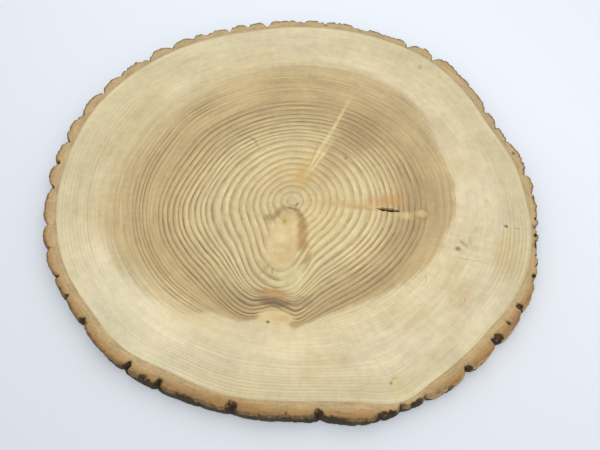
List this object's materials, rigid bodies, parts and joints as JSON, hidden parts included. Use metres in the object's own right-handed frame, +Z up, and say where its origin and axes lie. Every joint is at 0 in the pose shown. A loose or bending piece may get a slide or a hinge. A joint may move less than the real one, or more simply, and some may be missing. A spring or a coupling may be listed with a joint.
{
  "type": "wood slice",
  "caption": "Round slice sawn across a log with its bark on, lying flat as a board, centrepiece or craft blank.",
  "frame": {"origin": "middle of the underside: the centre of the outline's bounding box, at the face it lies on", "axes": "+Z up, square to the sawn faces; +X towards the side with the seasoning crack; +Y completes a right-handed frame"},
  "size_m": [0.3626, 0.3528, 0.012],
  "materials": {
    "wood": "sawn and lightly sanded, unvarnished; dark furrowed bark on the rim"
  },
  "bodies": {
    "root": {"wood_slice": "wood"}
  },
  "joints": []
}
